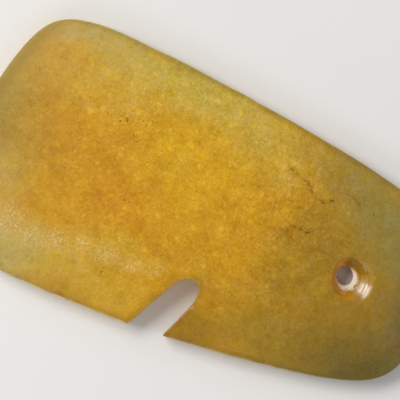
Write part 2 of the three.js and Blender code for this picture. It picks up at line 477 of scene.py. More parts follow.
def edgeRings(skin, rim, lipGap, onSlot):
    # from the front face's edge down to the back face's edge
    along = np.roll(rim, -1, 0) - np.roll(rim, 1, 0)
    along /= np.linalg.norm(along, axis=1)[:, None]
    outward = np.stack([along[:, 1], -along[:, 0]], -1)
    toSlot = smoothStep(0, slot["lipBlend"], lipGap)
    crown = plate["wallCrown"] * toSlot
    rings = []

    def arrisOf(name):
        full = np.where(onSlot, slot["arris"], plate[name])
        return slot["lipArris"] + (full - slot["lipArris"]) * toSlot

    def faceEdge(arris, height):
        inner = rim - outward * (arris + crown)[:, None]
        base = height(inner)
        return base, (height(inner + outward * mm) - base) / mm

    def addRing(drawnIn, heights, wear):
        rings.append((rim - outward * drawnIn[:, None], heights, wear))

    frontArris, backArris = arrisOf("frontArris"), arrisOf("backArris")
    frontTop, frontSlope = faceEdge(frontArris, skin.front)
    backBase, backSlope = faceEdge(backArris, skin.back)
    turns = np.linspace(0, 1, mesh["arrisSteps"] + 1)
    for t in turns:
        drawnIn, drop = arrisPoint(t, frontArris, frontSlope)
        addRing(drawnIn + crown, frontTop - drop, 1.0)
    wallTop, wallFoot = frontTop - frontArris, backBase + backArris
    for w in np.linspace(0, 1, mesh["wallSteps"] + 1)[1:-1]:
        fromMiddle = abs(2 * w - 1)
        addRing(crown * fromMiddle ** 2, wallTop + (wallFoot - wallTop) * w, fromMiddle ** 3)
    for t in turns[::-1]:
        drawnIn, lift = arrisPoint(t, backArris, -backSlope)
        addRing(drawnIn + crown, backBase + lift, 1.0)
    return rings, outward, frontArris + crown


def addEdge(store, rim, onSlot, rings, outward, shoulder):
    # the chips take their share of the upper rings
    chipped = np.zeros(len(rim))
    for x, y, reach, depth in chips:
        chipped += depth * smoothStep(reach, 0, np.hypot(rim[:, 0] - x, rim[:, 1] - y))
    indices = []
    for number, (place, heights, wear) in enumerate(rings):
        saw = np.where(onSlot, 1 - wear * slot["rubbedShare"], 0.0)
        gaps = np.maximum(0, ((rim - place) * outward).sum(1))
        share = np.clip(1 - gaps / shoulder, 0, 1) * (1 - number / len(rings))
        place = place - outward * (chipped * share)[:, None]
        indices.append(store.add(place, heights, rimWear=wear, edgeGap=gaps, sawn=saw))
    return indices


def addHole(store, skin):
    spokes = np.arange(mesh["holeSpokes"]) / mesh["holeSpokes"] * 2 * math.pi
    spokeWay = np.stack([np.cos(spokes), np.sin(spokes)], -1)

    def drilled(points, side):
        # height of the face with the drilling in it, depth below the face, place along the drill
        sign, face = (1, skin.front(points)) if side == "front" else (-1, skin.back(points))
        wall, axial = skin.drilled(points, sign, hole[side])
        return sign * softLower(sign * face, sign * wall, hole["rimBlend"]), sign * (face - wall), axial

    near, far = np.zeros(len(spokes)), np.full(len(spokes), hole["surelyStone"])
    for _ in range(mesh["waistTries"]):
        half = (near + far) / 2
        places = skin.hole + spokeWay * half[:, None]
        isOpen = drilled(places, "front")[0] < drilled(places, "back")[0]
        near, far = np.where(isOpen, half, near), np.where(isOpen, far, half)
    waist = (near + far) / 2

    def holeRings(side, count):
        made = []
        even = mesh["evenRingShare"]
        for t in np.linspace(1, 0, count + 1):
            reach = waist + (hole["patchRadius"] - waist) * (even * t + (1 - even) * t ** 2)
            places = skin.hole + spokeWay * reach[:, None]
            made.append((places, *drilled(places, side)))
        return made

    def addRing(places, heights, depth, axial):
        holeLooks = smoothStep(*hole["holeLooksBetween"], depth)
        return store.add(places, heights, edgeGap=mesh["farFromEdge"], bore=holeLooks, boreDepth=axial)

    front = holeRings("front", mesh["frontHoleRings"])
    back = holeRings("back", mesh["backHoleRings"])
    indices = [addRing(*ring) for ring in front[:-1]]
    waistPlaces, waistTop, _, waistAxial = front[-1]
    indices.append(addRing(waistPlaces, (waistTop + back[-1][1]) / 2, np.ones(len(spokes)), waistAxial))
    indices += [addRing(*ring) for ring in back[:-1][::-1]]
    return indices, front[0][0], back[0][0]


def addObject(name, data):
    made = bpy.data.objects.new(name, data)
    bpy.context.scene.collection.objects.link(made)
    return made


def buildPlate():
    outline, rim, lipGap, onSlot = boundary()
    skin = Skin(outline, plateOutline()[1])
    store = PointStore(rim[onSlot])
    rings, outward, shoulder = edgeRings(skin, rim, lipGap, onSlot)
    edge = addEdge(store, rim, onSlot, rings, outward, shoulder)
    inside, frontPatch, backPatch = addHole(store, skin)
    quads = [bridge(upper, lower) for upper, lower in zip(edge, edge[1:])]
    quads += [bridge(outer, inner)[:, ::-1] for outer, inner in zip(inside, inside[1:])]

    def addFace(number, patch, step, height):
        ring = rings[number][0]
        comb, triangles = filledFace(ring, patch, step)
        added = store.add(comb, height(comb), edgeGap=gapTo(comb, rim))
        return np.concatenate([edge[number], inside[number], added])[triangles]

    frontFaces = addFace(0, frontPatch, mesh["frontStep"], skin.front)
    backFaces = addFace(-1, backPatch, mesh["backStep"], skin.back)[:, ::-1]
    places = np.concatenate(store.places)
    print("plate laid out:", len(places), "points")
    body = bpy.data.meshes.new("polished_plate")
    faces = [*np.concatenate(quads).tolist(), *frontFaces.tolist(), *backFaces.tolist()]
    body.from_pydata((places * mm).tolist(), [], faces)
    body.validate()
    for name, values in store.values.items():
        attribute = body.attributes.new(name, "FLOAT", "POINT")
        attribute.data.foreach_set("value", np.concatenate(values).astype(np.float32))
    body.shade_smooth()
    return addObject("polished_plate", body)


polishedPlate = buildPlate()


# Relief left by the maker and by wear, laid over the plate by Geometry Nodes

relief = {
    "Ground depth": 0.05,  # soft waves of the hand-ground faces
    "Ground size": 13,
    "Edge wander": 0.09,  # unevenness of the edge, seen in plan
    "Edge size": 7,
    "Ridge depth": 0.009,  # rings left by the drill
    "Ridge pitch": 0.66,
    "Saw depth": 0.05,  # strokes left in the slot
    "Saw pitch": 0.8,
    "Nick count": 0.22,  # for each square millimetre of worn edge
    "Nick least": 0.12,
    "Nick most": 0.42,
    "Nick depth share": 0.3,
}
reliefSeed = 7

reliefLooks = {
    "edgeBand": 1.6,  # how far in from the edge it wanders
    "edgeUpright": 0.15,  # the lower, the more upright the unevenness of the edge
    "sawUpright": 0.08,  # the same for the strokes in the slot
    "wobblesPerMm": 0.7,
    "wobble": 2.4,  # radians by which the drill's rings stray
    "faintestRidge": 0.35,
    "nickedFrom": 0.9,  # wear at which nicks start
}


def newTree(name, kind, inputs, outputs):
    # inputs and outputs give each socket's name and kind
    tree = bpy.data.node_groups.new(name, kind)
    for way, sockets in (("INPUT", inputs), ("OUTPUT", outputs)):
        for label, socket in sockets.items():
            tree.interface.new_socket(label, in_out=way, socket_type="NodeSocket" + socket)
    return tree, addNode(tree, "NodeGroupInput").outputs


def reliefTree():
    inputs = {"Geometry": "Geometry", **dict.fromkeys(relief, "Float"), "Seed": "Int", "Finish": "Material"}
    tree, given = newTree("stone_relief", "GeometryNodeTree", inputs, {"Geometry": "Geometry"})
    for name, value in {**relief, "Seed": reliefSeed}.items():
        tree.interface.items_tree[name].default_value = value

    def named(name):
        node = addNode(tree, "GeometryNodeInputNamedAttribute", {"Name": name}, data_type="FLOAT")
        return node.outputs[0]

    def stored(geometry, name, value):
        inputs = {"Geometry": geometry, "Name": name, "Value": value}
        kinds = {"data_type": "FLOAT", "domain": "POINT"}
        return addNode(tree, "GeometryNodeStoreNamedAttribute", inputs, **kinds).outputs[0]

    def waves(size, detail, upright=1.0, shift=(0, 0, 0)):
        drawn = vectorCalc(tree, "MULTIPLY", inMm, (1.0, 1.0, upright))
        return cloud(tree, drawn, calc(tree, "DIVIDE", 1.0, given[size]), detail, shift=shift)

    def spread(value):
        # a noise from 0.3 to 0.7 spread over 0 to 1
        return ramp(tree, value, 0.3, 0.7)

    place = addNode(tree, "GeometryNodeInputPosition").outputs[0]
    inMm = scaled(tree, place, 1 / mm)

    ground = product(tree, spread(waves("Ground size", 1.5)), given["Ground depth"])

    wander = spread(waves("Edge size", 3.0, reliefLooks["edgeUpright"], (31, 5, 0)))
    nearEdge = ramp(tree, named("edgeGap"), reliefLooks["edgeBand"], 0.0)
    edge = product(tree, wander, nearEdge, given["Edge wander"])

    wobble = product(tree, cloud(tree, inMm, reliefLooks["wobblesPerMm"], 1.0), reliefLooks["wobble"])
    turns = calc(tree, "DIVIDE", named("boreDepth"), given["Ridge pitch"])
    wave = calc(tree, "SINE", calc(tree, "ADD", product(tree, turns, 2 * math.pi), wobble))
    uneven = ramp(tree, cloud(tree, inMm, 0.5, 1.0), 0.25, 0.65, reliefLooks["faintestRidge"])
    strength = product(tree, named("bore"), uneven)
    ridge = product(tree, calc(tree, "ADD", wave, 1.0), strength, given["Ridge depth"])

    saw = waves("Saw pitch", 2.0, reliefLooks["sawUpright"])
    saw = product(tree, saw, named("sawn"), given["Saw depth"])

    # nicks: points scattered over the worn edge, each with a reach of its own
    onEdge = calc(tree, "GREATER_THAN", named("rimWear"), reliefLooks["nickedFrom"])
    spots = addNode(tree, "GeometryNodeDistributePointsOnFaces", {
        "Mesh": given["Geometry"],
        "Density": product(tree, given["Nick count"], 1 / mm ** 2, onEdge),
        "Seed": given["Seed"],
    })
    sizes = addNode(tree, "FunctionNodeRandomValue", {
        2: given["Nick least"], 3: given["Nick most"], "Seed": given["Seed"],
    }, data_type="FLOAT")
    spotSize = stored(spots.outputs["Points"], "nickReach", sizes.outputs[1])
    nearest = addNode(tree, "GeometryNodeSampleNearest", {"Geometry": spotSize, "Sample Position": place})

    def fromSpot(value, kind):
        inputs = {"Geometry": spotSize, "Value": value, "Index": nearest.outputs[0]}
        return addNode(tree, "GeometryNodeSampleIndex", inputs, data_type=kind, domain="POINT").outputs[0]

    spotPlace = scaled(tree, fromSpot(place, "FLOAT_VECTOR"), 1 / mm)
    away = vectorCalc(tree, "DISTANCE", inMm, spotPlace, output="Value")
    reach = fromSpot(named("nickReach"), "FLOAT")
    nick = ramp(tree, calc(tree, "DIVIDE", away, reach), 1.0, 0.1)
    nicked = product(tree, nick, reach, given["Nick depth share"])

    cut = calc(tree, "ADD", calc(tree, "ADD", ground, edge), calc(tree, "ADD", ridge, saw))
    cut = product(tree, calc(tree, "ADD", cut, nicked), -mm)
    offset = scaled(tree, addNode(tree, "GeometryNodeInputNormal").outputs[0], cut)
    marked = stored(given["Geometry"], "nicked", nick)
    moved = addNode(tree, "GeometryNodeSetPosition", {"Geometry": marked, "Offset": offset}).outputs[0]
    real = addNode(tree, "GeometryNodeRealizeInstances", {"Geometry": moved}).outputs[0]
    dressed = addNode(tree, "GeometryNodeSetMaterial", {"Geometry": real, "Material": given["Finish"]})
    addNode(tree, "NodeGroupOutput", {0: dressed.outputs[0]})
    return tree


def layRelief(piece, finish):
    tree = reliefTree()
    modifier = piece.modifiers.new("relief", "NODES")
    modifier.node_group = tree
    modifier[tree.interface.items_tree["Finish"].identifier] = finish
    view = bpy.context.evaluated_depsgraph_get()
    finished = bpy.data.meshes.new_from_object(piece.evaluated_get(view))
    piece.modifiers.remove(modifier)
    piece.data = finished
    finished.name = piece.name
    finished.shade_smooth()


# The stone itself

palette = {  # the stone's colours as the eye reads them, 0 to 255
    "honey": (208, 153, 20),
    "amber": (209, 142, 6),
    "gold": (221, 170, 18),
    "straw": (207, 178, 71),
    "pale": (190, 168, 94),
    "olive": (147, 129, 48),
    "brown": (156, 122, 28),
    "grey": (146, 133, 66),
    "moss": (108, 94, 32),
    "slate": (106, 98, 60),
    "umber": (122, 90, 6),
    "ochre": (157, 125, 0),
    "rust": (166, 86, 10),
    "flame": (250, 168, 0),
    "cream": (255, 238, 212),
    "pearl": (206, 184, 160),
    "chalk": (234, 211, 144),
    "bark": (146, 100, 4),
    "dark": (100, 60, 0),
    "soot": (92, 48, 16),
}

# colour, middle x and y, reach along and across, turn in degrees, strength
stains = [
    ("amber", -13, -3, 15, 9, 10, 0.6),
    ("amber", -26, 3, 9, 8, 0, 0.3),
    ("amber", -18, 7, 9, 7, 0, 0.4),
    ("gold", -3, 8, 18, 9, -8, 0.7),
    ("gold", -4, 1, 12, 8, 0, 0.5),
    ("gold", -12, 9, 14, 8, -5, 0.4),
    ("straw", -10, 19, 34, 8, -4, 0.95),
    ("straw", -22, 13, 12, 8, 10, 0.35),
    ("straw", -18, -18, 22, 8, 4, 0.45),
    ("straw", -12, -10.5, 9, 4, 5, 0.35),
    ("straw", 7, 13, 10, 7, -10, 0.5),
    ("pale", -29, 21, 14, 7, 6, 0.68),
    # partly the stone's olive, partly painted shade where the wide end's face curves away from the light
    ("olive", -44, 2, 20, 28, 0, 0.77),
    ("pale", -30, -19, 13, 10, 20, 0.85),
    ("pale", -35, -7, 9, 8, 0, 0.4),
    ("straw", -30, 14, 7, 5, 0, 0.18),
    # the brown, olive, moss and slate rows of the narrow end are partly the stone's colour, partly painted
    # shade where the light falls off towards that end
    ("brown", 27, -4, 20, 24, 0, 0.75),
    ("brown", 16, -15, 13, 12, 0, 0.5),
    ("brown", 21, 6, 9, 9, 0, 0.6),
    ("brown", 17, -2, 10, 13, 0, 0.42),
    ("olive", 19, -15, 13, 7, 10, 0.35),
    ("grey", 23, 15, 17, 9, -18, 0.7),
    ("grey", 30, 10, 12, 11, -30, 0.65),
    ("grey", 34, 9, 8, 9, -30, 0.6),
    ("moss", 36, -14, 22, 13, 16, 0.95),
    ("moss", 37, -1, 7, 7, 0, 0.3),
    ("brown", 24, -7, 6, 4, 0, 0.35),
    ("slate", 42, 0, 15, 17, 0, 0.95),
    ("umber", 6, -19, 9, 8, 10, 0.6),
    ("umber", 6, -11, 6, 6, 0, 0.2),
    ("umber", -29, -1, 13, 15, 0, 0.12),
    ("umber", -9, -25, 26, 6, 0, 0.5),
    ("olive", -10, 23, 30, 4, -3, 0.3),
]

# small marks with sharper borders
marks = [
    ("rust", 2.4, -21, 2.4, 1.1, -60, 0.5),
    ("rust", 4.6, -20.9, 1.2, 0.6, 0, 0.5),
    ("rust", -16.6, -21.6, 1.3, 0.6, 0, 0.6),
    ("rust", 16.5, -18.6, 1.6, 0.6, 10, 0.5),
    ("rust", 14.2, -19, 0.8, 0.4, 0, 0.45),
    ("rust", -34.2, 11.8, 0.9, 0.4, 45, 0.45),
    ("amber", 5.6, -12.4, 1, 3.2, 10, 0.4),
    ("amber", 23.6, -0.6, 1.2, 2.6, -24, 0.3),
    ("amber", 27.3, -2.9, 2.4, 1, 24, 0.6),
]

# the same, inside the hole only, with painted glow and a painted highlight among them
boreMarks = [
    # partly the stone's orange, partly painted glow: the shaded left wall made bright as if lit through the
    # thin stone
    ("flame", 23.8, 0.2, 2.3, 4.2, 10, 1),
    ("bark", 26.6, 2.8, 3.4, 1.8, -10, 0.6),
    ("amber", 25.8, -3.2, 3.2, 1.6, -14, 0.8),
    # painted highlight: a pale ground under the glint on the hole's right wall
    ("pearl", 28.7, -0.65, 1.6, 1.7, -8, 0.3),
    # painted glow: the shaded ring beside the waist made bright as if lit through the thin stone
    ("cream", 26.2, -0.3, 2.05, 2.2, 0, 0.95),
    ("soot", 27.86, -0.75, 0.13, 0.6, -23, 0.75),
    ("soot", 26.58, -1.85, 0.12, 0.1, 0, 0.6),
    ("soot", 27.18, -2.67, 0.13, 0.1, 20, 0.5),
]

# where the worn line, partly a painted edge highlight, is brightest: x, y, reach along and across, turn,
# strength
wornAndLitRims = [
    (-12, -22.4, 17, 2.6, 0, 1), (16, -19.6, 15, 3.2, 10, 0.3),
    (-24, 22.6, 13, 3, 0, 0.4),
]

# where the painted shade beside the edge is strongest, standing for the face turning away from the light, in
# the same form
paintedShadeRims = [
    (6, 20.4, 9, 4, -6, 0.42), (22, -18.5, 17, 6, 12, 0.47),
    (-18, -22.4, 12, 5, 0, 0.34),
]

# painted sheen: a band of whitish grains near the wide end that stands for a reflection of the light on the
# curving face, in the same form
paintedSheenBand = [
    (-30, -14, 6, 5, 10, 0.9), (-25, -14.4, 5, 3.6, 14, 0.8), (-20, -13.4, 4.8, 3.2, 8, 0.85),
    (-16.6, -12.6, 3.2, 2.3, 0, 0.9), (-12.6, -12.6, 4.4, 2.4, 4, 0.95), (-8, -12.4, 3.8, 2.2, 8, 0.75),
    (-4, -11.4, 3.2, 2, 20, 0.5), (-33, -9, 4, 4, 0, 0.35),
]

# pinpricks in the polished face: x, y, reach along and across, turn
pinpricks = [
    (-19, 8.7, 0.34, 0.2, 40), (-18.1, 9.6, 0.18, 0.18, 0), (-14.7, 9.75, 0.19, 0.17, 0),
    (-15.5, 10.2, 0.16, 0.16, 0), (-15, 6.7, 0.17, 0.17, 0), (-25.3, 5.75, 0.19, 0.16, 0),
    (-23.6, -0.4, 0.16, 0.19, 0), (-19.2, -2, 0.2, 0.18, 0), (-13.1, -3, 0.28, 0.25, 20),
    (-11.85, -15.5, 0.17, 0.38, 10), (25.8, 11.4, 0.38, 0.15, -20),
]

# where small brown pits gather: x, y, reach along and across, turn, strength
pitZones = [
    (-17, 9, 7.5, 3.6, 15, 0.9), (-12.5, -3, 3, 1.6, 0, 0.7), (12, 12, 6, 3, -20, 0.6),
]

# where the brown veins show, in the same form
veinZones = [
    (14, 9, 11, 6, -20, 0.8), (-17, 8.5, 6, 4, 0, 0.5), (13, 1, 8, 5, 0, 0.5),
]

# hairline cracks: how strongly each one shows, and the points that it runs through
cracks = [
    (0.7, [(9.9, 12.6), (10.6, 12.7), (11.8, 12.3), (12.5, 12), (13.7, 11.9), (14.1, 11.5), (14.8, 10.9)]),
    (0.95, [(14.8, 10.9), (15.7, 10.5), (16.2, 10.1), (16.4, 10.2), (17.3, 9.8), (18.2, 10.1)]),
    (0.95, [(18.2, 10.1), (18.8, 11.2)]),
    (0.5, [(19.5, 12.5), (20.7, 12.7), (21.6, 12.5), (22.2, 12.3), (23.4, 11.5)]),
    (0.6, [(13.6, 2.5), (13.7, 3.7), (14.6, 4.3), (15.6, 4.3)]),
    (1, [(15.6, 4.2), (16.5, 4.1), (17.4, 4.6)]),
    (0.4, [(14, 5.8), (14.7, 5.1)]),
]

# single places: x, y, reach along and across, turn, share of the reach that is full
zones = {
    "lively": (-3, 3, 38, 27, -6, 0.45),  # outside it the stone is calmer
    "seams": (6, 5, 16, 11, -12, 0.3),
    # painted shade on the wide end's edge, which faces the low light
    "grime": (-42, 3, 16, 30, 0, 0.5),
    "cordPolish": (29.6, -0.9, 3.4, 3.4, 0, 0.6),
}

warps = {  # grains for each mm, mm that a place can move, detail, shift
    "wide": (0.12, 6, 3, (3, 8, 1)),
    "fine": (0.9, 0.9, 3, (12, 1, 5)),
    "close": (1.7, 0.8, 4, (2, 7, 15)),
    "lumps": (1.1, 0.8, 2, (14, 2, 6)),
    "veins": (0.9, 1.2, 2, (21, 4, 2)),
}

# grains for each mm, detail, roughness, shift; some with the noise levels that give 0 and 1, and a least
noises = {
    "mottle": (0.3, 3, 0.75, (5, 2, 7)),
    "grain": (0.3, 5, 1, (1, 9, 4)),
    "dust": (2.4, 2, 0.8, (3, 9, 8)),
    "speckPatches": (0.16, 2, 0.5, (2, 2, 30), 0.42, 0.66, 0.15),
    "lumpPatches": (0.35, 2, 0.5, (8, 8, 2), 0.46, 0.64),
    "veins": (0.75, 2, 0.6, (9, 30, 2)),
    "veinPatches": (0.5, 2, 0.5, (17, 2, 9), 0.36, 0.56),
    "sheenGrain": (2.7, 2, 0.75, (7, 7, 7), 0.5, 0.64),
    "sheenGrainPatches": (0.8, 2, 0.6, (4, 9, 7), 0.36, 0.62, 0.35),
    "crackPatches": (1.1, 3, 0.7, (6, 31, 2), 0.38, 0.62),
    "edgePatches": (0.5, 3, 0.5, (3, 3, 3), 0.35, 0.65),
    "roughness": (0.8, 4, 0.6, (8, 1, 1)),
    "bump": (2.2, 4, 0.6, (1, 4, 1)),
}

spotLooks = {  # cells for each mm, share of them kept, core and edge of the largest spot, shift
    "flecks": (0.7, 0.4, 0.15, 0.6, (40, 3, 0)),
    "smallFlecks": (1.7, 0.3, 0.1, 0.55, (11, 23, 0)),
    "specks": (2.5, 0.28, 0.05, 0.36, (3, 51, 0)),
    "pits": (1.3, 0.5, 0.14, 0.5, (61, 9, 0)),
}

tints = {  # what each layer adds or takes away
    "mottle": (0.2, 0.14, -0.4),
    "grain": (0.9, 1, 1.5),
    "dust": (0.2, 0.45, 1.15),
    "flecks": (0.15, 0.15, 0.07),
    "specks": (-0.36, -0.38, -0.22),
    "seams": (-0.1, -0.11, -0.05),
}

stone = {
    "tintGamma": 0.55,
    "leastColour": (0.002, 0.002, 0.002),
    "calmGrain": 0.55,
    "smallestSpot": 0.4,  # as a share of the largest
    "lumpsPerMm": 0.85,
    "seamWidth": 0.16,
    "seamsElsewhere": 0.2,
    "veinWidth": 0.026,
    "veinsElsewhere": 0.2,
    "sheenGrain": 0.95,
    "veil": 0.1,
    "front": (2.4, 3.0),  # heights between which the front's own looks come in
    "boreMarkEdge": 0.7,
    "crackWidth": 0.19,
    "leastCrack": 0.3,  # where a crack nearly closes
    "crack": 0.75,  # strengths of these marks
    "smudgeWidth": 0.9,
    "smudge": 0.75,
    "pinprick": 0.7,
    "nick": 0.35,
    "slotBand": (0.3, 1.6),  # mm from the slot's wall between which the rims come back
    "patchyRimLine": (0.45, 0.95),  # least and most of the worn line, which is partly a painted edge highlight
    "wideEndShadeBand": (3.6, 1.0),  # mm from the edge where the painted shade at the wide end starts and is full
    "grime": 0.8,
    "glowBand": (1.4, 0.2),  # mm from the slot's wall where it starts and is full
    "glow": 0.2,
}

# mm from the edge where it starts and is full, share left beside the slot, least strength
rims = {
    # dark: painted shade beside the edge
    "dark": (1.5, 0.3, 0.5, 0.28),
    # worn: a paler worn line on the arris, partly a painted edge highlight
    "wornAndLit": (0.42, 0.12, 0.45, 0.15),
}

gloss = {
    "face": (0.24, 0.4),  # least and greatest roughness
    "sawn": 0.2,  # what each adds to it
    # roughness added where the wide end is darkened by painted shade
    "grime": 0.25,
    "hurt": -0.12,
    "bore": -0.14,
    "ior": 1.5,
    "specular": 0.45,
    "coatRoughness": 0.13,  # of the side of the hole that a cord has polished
    "coatIor": 1.62,
    "bumpStrength": 0.35,
    "bumpMm": 0.04,
    "bumpGrain": 0.5,
    "bumpHurt": 0.3,
    "subsurface": 0.25,
    "subsurfaceMm": 1.2,
    "boreSubsurface": 0.45,  # more in the thin stone round the hole
    "boreSubsurfaceMm": 1.6,
    "creamSubsurfaceShare": 0.25,  # less subsurface under the painted glow of the cream ring, which it would dull
    "subsurfaceRadius": (1, 0.5, 0.12),
}


def stainGroup():
    # how strongly a soft round stain colours a place
    inputs = {"Place": "Vector", "Middle": "Vector", "Reach": "Vector", "Turn": "Float", "Edge": "Float"}
    tree, given = newTree("soft_stain", "ShaderNodeTree", inputs, {"Strength": "Float"})
    moved = vectorCalc(tree, "SUBTRACT", given["Place"], given["Middle"])
    turnInputs = {"Vector": moved, "Angle": given["Turn"]}
    turnedPlace = addNode(tree, "ShaderNodeVectorRotate", turnInputs, rotation_type="Z_AXIS").outputs[0]
    inReaches = vectorCalc(tree, "DIVIDE", turnedPlace, given["Reach"])
    away = vectorCalc(tree, "LENGTH", inReaches, output="Value")
    addNode(tree, "NodeGroupOutput", {0: ramp(tree, away, 1.0, given["Edge"])})
    return tree


def hairlineGroup():
    # how strongly a straight hairline from one point to another marks a place
    inputs = {"Place": "Vector", "From": "Vector", "To": "Vector", "Width": "Float"}
    tree, given = newTree("hairline", "ShaderNodeTree", inputs, {"Strength": "Float"})
    way = vectorCalc(tree, "SUBTRACT", given["To"], given["From"])
    moved = vectorCalc(tree, "SUBTRACT", given["Place"], given["From"])
    dotted = vectorCalc(tree, "DOT_PRODUCT", moved, way, output="Value")
    whole = vectorCalc(tree, "DOT_PRODUCT", way, way, output="Value")
    share = calc(tree, "DIVIDE", dotted, whole, clamp=True)
    away = vectorCalc(tree, "DISTANCE", moved, scaled(tree, way, share), output="Value")
    addNode(tree, "NodeGroupOutput", {0: ramp(tree, away, given["Width"], 0.0)})
    return tree


def stoneMaterial():
    made = bpy.data.materials.new("yellow_stone")
    made.use_nodes = True
    tree = made.node_tree
    tree.nodes.clear()
    softStain, hairline = stainGroup(), hairlineGroup()
    colour = linear(*palette["honey"])
    place = scaled(tree, addNode(tree, "ShaderNodeTexCoord").outputs["Object"], 1 / mm)
    plan = vectorCalc(tree, "MULTIPLY", place, (1, 1, 0))

    def times(*values):
        return product(tree, *values)

    def plus(a, b):
        return calc(tree, "ADD", a, b)

    def atLeast(a, least):
        # a share from 0 to 1, lifted so that it starts from the least
        return plus(times(a, 1 - least), least)

    def offMiddle(value):
        return calc(tree, "SUBTRACT", value, 0.5)

    def attribute(name):
        return addNode(tree, "ShaderNodeAttribute", attribute_name=name).outputs["Fac"]

    def noise(name, where=place):
        perMm, detail, rough, shift, *levels = noises[name]
        made = cloud(tree, where, perMm, detail, rough, shift)
        return ramp(tree, made, *levels) if levels else made

    def warped(name):
        # the plan with its places moved about, so that borders wander
        perMm, reach, detail, shift = warps[name]
        drift = cloud(tree, place, perMm, detail, shift=shift, output=1)
        drift = vectorCalc(tree, "SUBTRACT", drift, (0.5, 0.5, 0.5))
        moved = vectorCalc(tree, "MULTIPLY_ADD", drift, (reach, reach, reach), plan)
        return vectorCalc(tree, "MULTIPLY", moved, (1, 1, 0))

    def stain(where, x, y, along, across, turn, edge=0.1):
        inputs = {
            "Place": where, "Middle": (x, y, 0), "Reach": (along, across, 1),
            "Turn": math.radians(-turn), "Edge": edge,
        }
        return addGroup(tree, softStain, inputs)

    def paint(share, name):
        nonlocal colour
        inputs = {0: share, 6: colour, 7: linear(*palette[name])}
        colour = addNode(tree, "ShaderNodeMix", inputs, data_type="RGBA").outputs[2]

    def paintStains(rows, where):
        for name, *spot, strength in rows:
            paint(times(stain(where, *spot), strength), name)

    def strongest(rows, where, edge=0.1, least=0.0):
        share = least
        for *spot, strength in rows:
            share = calc(tree, "MAXIMUM", share, times(stain(where, *spot, edge), strength))
        return share

    def tint(share, name):
        # the same change to the eye on light and dark ground
        nonlocal colour
        eased = addNode(tree, "ShaderNodeGamma", {"Color": colour, "Gamma": stone["tintGamma"]}).outputs[0]
        added = scaled(tree, vectorCalc(tree, "MULTIPLY", eased, tints[name]), share)
        colour = vectorCalc(tree, "MAXIMUM", vectorCalc(tree, "ADD", colour, added), stone["leastColour"])

    def spots(name):
        # round spots at random, each in a cell of its own: a share of the cells stays empty
        perMm, kept, core, edge, shift = spotLooks[name]
        inputs = {"Vector": vectorCalc(tree, "ADD", fine, shift), "Scale": perMm}
        cells = addNode(tree, "ShaderNodeTexVoronoi", inputs, feature="F1").outputs
        chance = addNode(tree, "ShaderNodeSeparateColor", {0: cells["Color"]}).outputs
        taken = calc(tree, "GREATER_THAN", kept, chance[0])
        size = atLeast(chance[1], stone["smallestSpot"])
        near = calc(tree, "DIVIDE", cells["Distance"], size)
        return times(ramp(tree, near, edge, core), taken)

    wide, fine, close = warped("wide"), warped("fine"), warped("close")
    paintStains(stains, wide)

    # cloudy mottling, then grain
    lively = stain(wide, *zones["lively"])
    grained = atLeast(lively, stone["calmGrain"])
    tint(offMiddle(noise("mottle")), "mottle")
    for name in ("grain", "dust"):
        tint(times(offMiddle(noise(name)), grained), name)

    # lighter yellow flecks, then brown specks that gather in groups
    for name in ("flecks", "smallFlecks"):
        tint(times(spots(name), lively), "flecks")
    tint(times(spots("specks"), noise("speckPatches"), lively), "specks")

    # pale lumps with brownish seams between them, in patches
    lumpInputs = {"Vector": warped("lumps"), "Scale": stone["lumpsPerMm"]}
    lumps = addNode(tree, "ShaderNodeTexVoronoi", lumpInputs, feature="DISTANCE_TO_EDGE").outputs["Distance"]
    shown = atLeast(stain(wide, *zones["seams"]), stone["seamsElsewhere"])
    seam = times(ramp(tree, lumps, stone["seamWidth"], 0.0), noise("lumpPatches"), shown)
    tint(seam, "seams")

    # a net of brown veins, strong where the stone has cracked, then brown pits
    vein = calc(tree, "ABSOLUTE", offMiddle(noise("veins", warped("veins"))))
    vein = times(ramp(tree, vein, stone["veinWidth"], 0.0), noise("veinPatches"))
    vein = times(vein, strongest(veinZones, wide, least=stone["veinsElsewhere"]))
    paint(vein, "bark")
    paint(times(spots("pits"), strongest(pitZones, wide)), "bark")

    # the painted sheen: a band of whitish grains standing for a reflection of the light
    height = addNode(tree, "ShaderNodeSeparateXYZ", {0: place}).outputs["Z"]
    front = ramp(tree, height, *stone["front"])
    veil = plus(times(noise("sheenGrain"), noise("sheenGrainPatches"), stone["sheenGrain"]), stone["veil"])
    paint(times(strongest(paintedSheenBand, fine), veil, front), "chalk")

    # small marks on the face, and then in the hole
    bore = attribute("bore")
    paintStains(marks, fine)
    subsurfaceKept = 1.0
    # of these, the flame, cream and pearl marks paint glow and highlight in the hole
    for name, *spot, strength in boreMarks:
        share = times(stain(fine, *spot, stone["boreMarkEdge"]), strength, bore)
        paint(share, name)
        # less subsurface under the painted glow of the cream ring
        if name == "cream":
            subsurfaceKept = ramp(tree, share, 0.0, 1.0, 1.0, gloss["creamSubsurfaceShare"])

    # cracks with their smudges, and pinpricks
    def cracked(width):
        share = 0.0
        for strength, run in cracks:
            for start, end in zip(run, run[1:]):
                inputs = {"Place": close, "From": (*start, 0), "To": (*end, 0), "Width": width}
                share = calc(tree, "MAXIMUM", share, times(addGroup(tree, hairline, inputs), strength))
        return share

    ragged = noise("crackPatches")
    smudge = times(cracked(stone["smudgeWidth"]), ragged, stone["smudge"])
    paint(smudge, "bark")
    crack = times(cracked(stone["crackWidth"]), atLeast(ragged, stone["leastCrack"]), stone["crack"])
    prick = strongest([(*spot, stone["pinprick"]) for spot in pinpricks], plan, 0.3)
    hurt = times(calc(tree, "MAXIMUM", crack, prick), front)
    paint(hurt, "dark")

    # edges: painted shade beside them, then a worn lighter line that is partly a painted highlight, then
    # painted shade round the wide end
    edgeGap, cutGap = attribute("edgeGap"), attribute("cutGap")
    patchy = noise("edgePatches")

